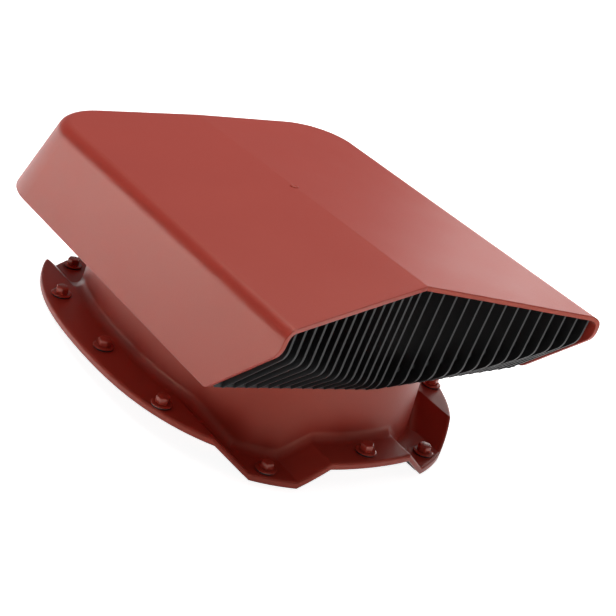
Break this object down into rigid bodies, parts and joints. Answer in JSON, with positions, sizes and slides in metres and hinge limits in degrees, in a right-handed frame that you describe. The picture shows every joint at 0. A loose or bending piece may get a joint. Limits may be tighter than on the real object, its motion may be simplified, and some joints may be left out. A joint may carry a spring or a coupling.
{
  "type": "roof vent",
  "caption": "Low vent for a profiled metal roof: gabled hood with a finned mouth on an oval neck and a draped flange held by hex screws.",
  "frame": {"origin": "centre of the flange over the roof opening, at the height of the sheet's pan", "axes": "+Z away from the roof and normal to it, +Y up the slope, mouth towards -Y, +X across the ribs"},
  "size_m": [0.2582, 0.3676, 0.1448],
  "materials": {
    "shell_red": "satin moulded, brick red",
    "grille_black": "satin moulded, black",
    "screen_steel": "dull stainless",
    "foam_black": "matt closed-cell foam",
    "screw_red": "satin paint, brick red",
    "rubber_black": "matt",
    "clamp_steel": "zinc plated"
  },
  "bodies": {
    "root": {"base": "shell_red", "hood": "shell_red", "grille": "grille_black", "screen": "screen_steel", "gasket": "foam_black", "screw_01": "screw_red", "washer_01": "screw_red", "seal_01": "rubber_black", "screw_02": "screw_red", "washer_02": "screw_red", "seal_02": "rubber_black", "screw_03": "screw_red", "washer_03": "screw_red", "seal_03": "rubber_black", "screw_04": "screw_red", "washer_04": "screw_red", "seal_04": "rubber_black", "screw_05": "screw_red", "washer_05": "screw_red", "seal_05": "rubber_black", "screw_06": "screw_red", "washer_06": "screw_red", "seal_06": "rubber_black", "screw_07": "screw_red", "washer_07": "screw_red", "seal_07": "rubber_black", "screw_08": "screw_red", "washer_08": "screw_red", "seal_08": "rubber_black", "screw_09": "screw_red", "washer_09": "screw_red", "seal_09": "rubber_black", "screw_10": "screw_red", "washer_10": "screw_red", "seal_10": "rubber_black", "screw_11": "screw_red", "washer_11": "screw_red", "seal_11": "rubber_black", "screw_12": "screw_red", "washer_12": "screw_red", "seal_12": "rubber_black", "clamp_screw_1": "clamp_steel", "clamp_screw_2": "clamp_steel", "clamp_screw_3": "clamp_steel", "clamp_screw_4": "clamp_steel"}
  },
  "joints": []
}
